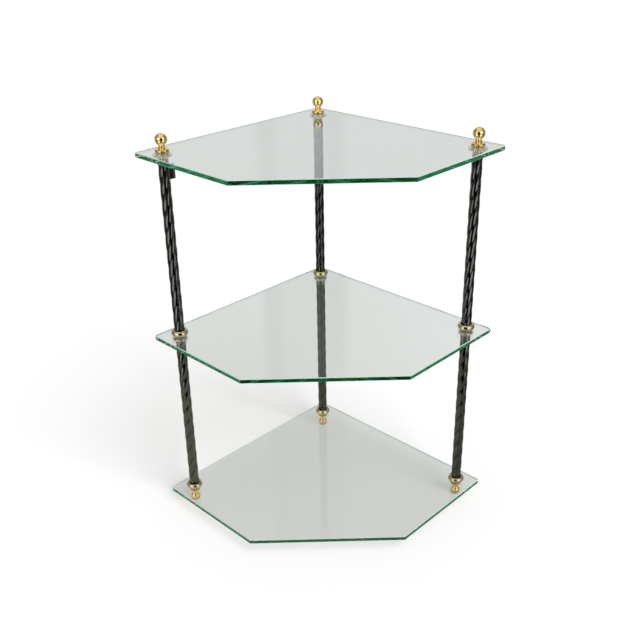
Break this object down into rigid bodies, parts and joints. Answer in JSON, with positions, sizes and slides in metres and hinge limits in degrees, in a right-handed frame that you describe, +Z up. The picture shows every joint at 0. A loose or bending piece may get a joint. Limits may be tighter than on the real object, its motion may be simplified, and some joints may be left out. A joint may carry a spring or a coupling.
{
  "type": "corner etagere",
  "caption": "Free-standing corner etagere: tiered clear glass shelves with a cut front corner, held by twisted dark metal columns with brass collars, ball finials and ball feet.",
  "frame": {"origin": "middle of the footprint on the floor, under the ball feet", "axes": "+Z up; +Y towards the back corner that goes into a room corner; -Y is the open front edge; +X to the right seen from the front"},
  "size_m": [0.5902, 0.4552, 0.7203],
  "materials": {
    "shelf_glass": "clear float glass, green edges, arrised",
    "column_steel": "black nickel plated twisted tube",
    "collar_brass": "polished pale champagne plate",
    "polished_brass": "polished brass",
    "zinc_rod": "zinc plated",
    "clear_washer": "clear soft plastic"
  },
  "bodies": {
    "root": {"top_shelf_glass": "shelf_glass", "middle_shelf_glass": "shelf_glass", "bottom_shelf_glass": "shelf_glass", "upper_column_left": "column_steel", "upper_column_right": "column_steel", "upper_column_back": "column_steel", "lower_column_left": "column_steel", "lower_column_right": "column_steel", "lower_column_back": "column_steel", "middle_collar_left": "collar_brass", "middle_collar_right": "collar_brass", "middle_collar_back": "collar_brass", "bottom_collar_left": "collar_brass", "bottom_collar_right": "collar_brass", "bottom_collar_back": "collar_brass", "middle_cap_left": "collar_brass", "middle_cap_right": "collar_brass", "middle_cap_back": "collar_brass", "top_cap_left": "collar_brass", "top_cap_right": "collar_brass", "top_cap_back": "collar_brass", "finial_left": "polished_brass", "finial_right": "polished_brass", "finial_back": "polished_brass", "foot_left": "polished_brass", "foot_right": "polished_brass", "foot_back": "polished_brass", "tie_rod_left": "zinc_rod", "tie_rod_right": "zinc_rod", "tie_rod_back": "zinc_rod", "top_washers": "clear_washer", "middle_washers": "clear_washer", "bottom_washers": "clear_washer", "column_lug": "column_steel"}
  },
  "joints": []
}
